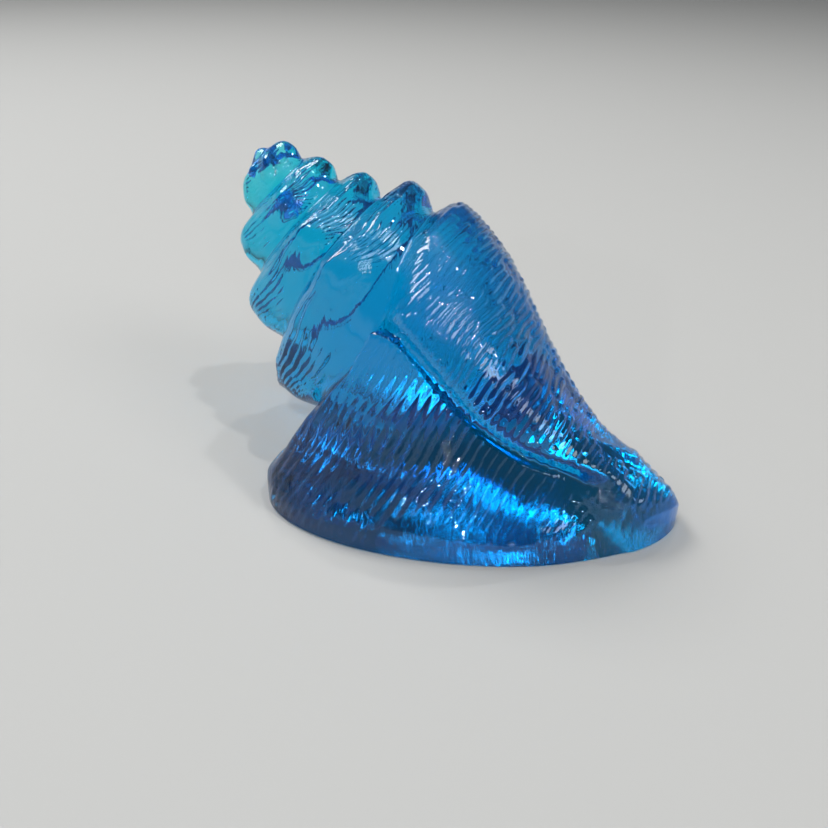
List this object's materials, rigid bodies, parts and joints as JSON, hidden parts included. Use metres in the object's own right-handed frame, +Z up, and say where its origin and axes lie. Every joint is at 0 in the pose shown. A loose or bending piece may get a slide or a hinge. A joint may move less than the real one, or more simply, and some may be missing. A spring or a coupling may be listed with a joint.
{
  "type": "glass conch shell figurine",
  "caption": "Solid pressed blue glass figurine of a conch shell with a knobbed spire and a ribbed lip, standing on a flat foot.",
  "frame": {"origin": "on the ground under the middle of the shell's box", "axes": "+Z up, +X along the foot toward the siphonal canal, -Y toward the fanned lip, the side on show"},
  "size_m": [0.0762, 0.0596, 0.0525],
  "materials": {
    "blue_glass": "clear turquoise to deep blue glass, fire-polished, with fine moulded ribs"
  },
  "bodies": {
    "root": {"glass_conch": "blue_glass"}
  },
  "joints": []
}
